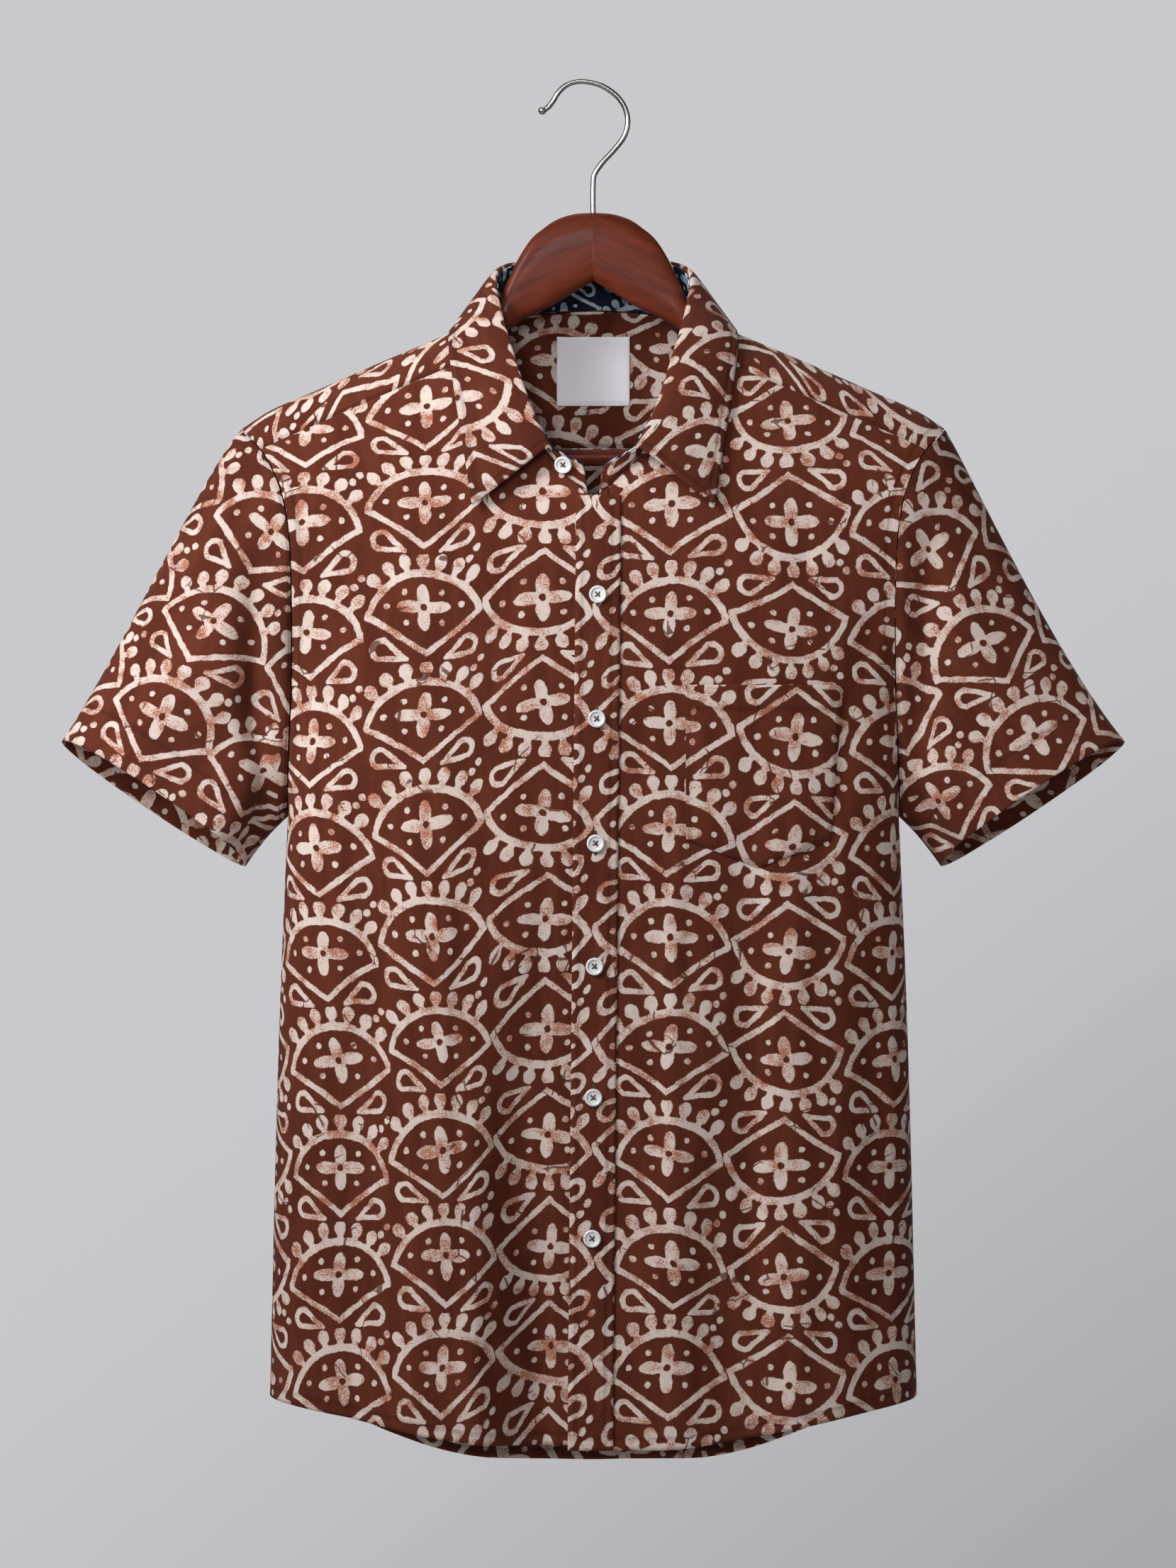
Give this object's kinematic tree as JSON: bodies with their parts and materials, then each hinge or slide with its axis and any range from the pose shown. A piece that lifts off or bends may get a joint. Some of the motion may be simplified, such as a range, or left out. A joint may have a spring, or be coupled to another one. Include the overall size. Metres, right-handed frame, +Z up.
{
  "type": "short-sleeve shirt on a wooden hanger",
  "caption": "Button-front shirt with a turned-down collar, short sleeves, a chest pocket and a curved hem, hung on a contoured wooden hanger with a wire hook.",
  "frame": {"origin": "the point of the hook's inner arc that rests on a rail, straight above the hook's stem", "axes": "+Z up, -Y out of the shirt's front, +X towards the wearer's left side"},
  "size_m": [0.701, 0.1461, 0.9195],
  "materials": {
    "shirt_cloth": "matt cotton, brown with an off-white block print",
    "stand_lining": "matt cotton, dark navy with a pale print",
    "label_satin": "white satin ribbon, bare",
    "button_shell": "polished, milky white",
    "hanger_wood": "reddish brown stain under clear varnish",
    "hook_steel": "polished wire"
  },
  "bodies": {
    "root": {"front_right": "shirt_cloth", "front_left": "shirt_cloth", "back": "shirt_cloth", "yoke": "shirt_cloth", "sleeve_right": "shirt_cloth", "sleeve_left": "shirt_cloth", "collar_stand": "shirt_cloth", "collar_leaf": "shirt_cloth", "front_band": "shirt_cloth", "chest_pocket": "shirt_cloth", "collar_stand_lining": "stand_lining", "neck_label": "label_satin", "button_1": "button_shell", "button_2": "button_shell", "button_3": "button_shell", "button_4": "button_shell", "button_5": "button_shell", "button_6": "button_shell", "button_stand": "button_shell", "hanger_arm_right": "hanger_wood", "hanger_arm_left": "hanger_wood", "hanger_bar": "hanger_wood", "hanger_hook": "hook_steel"}
  },
  "joints": []
}
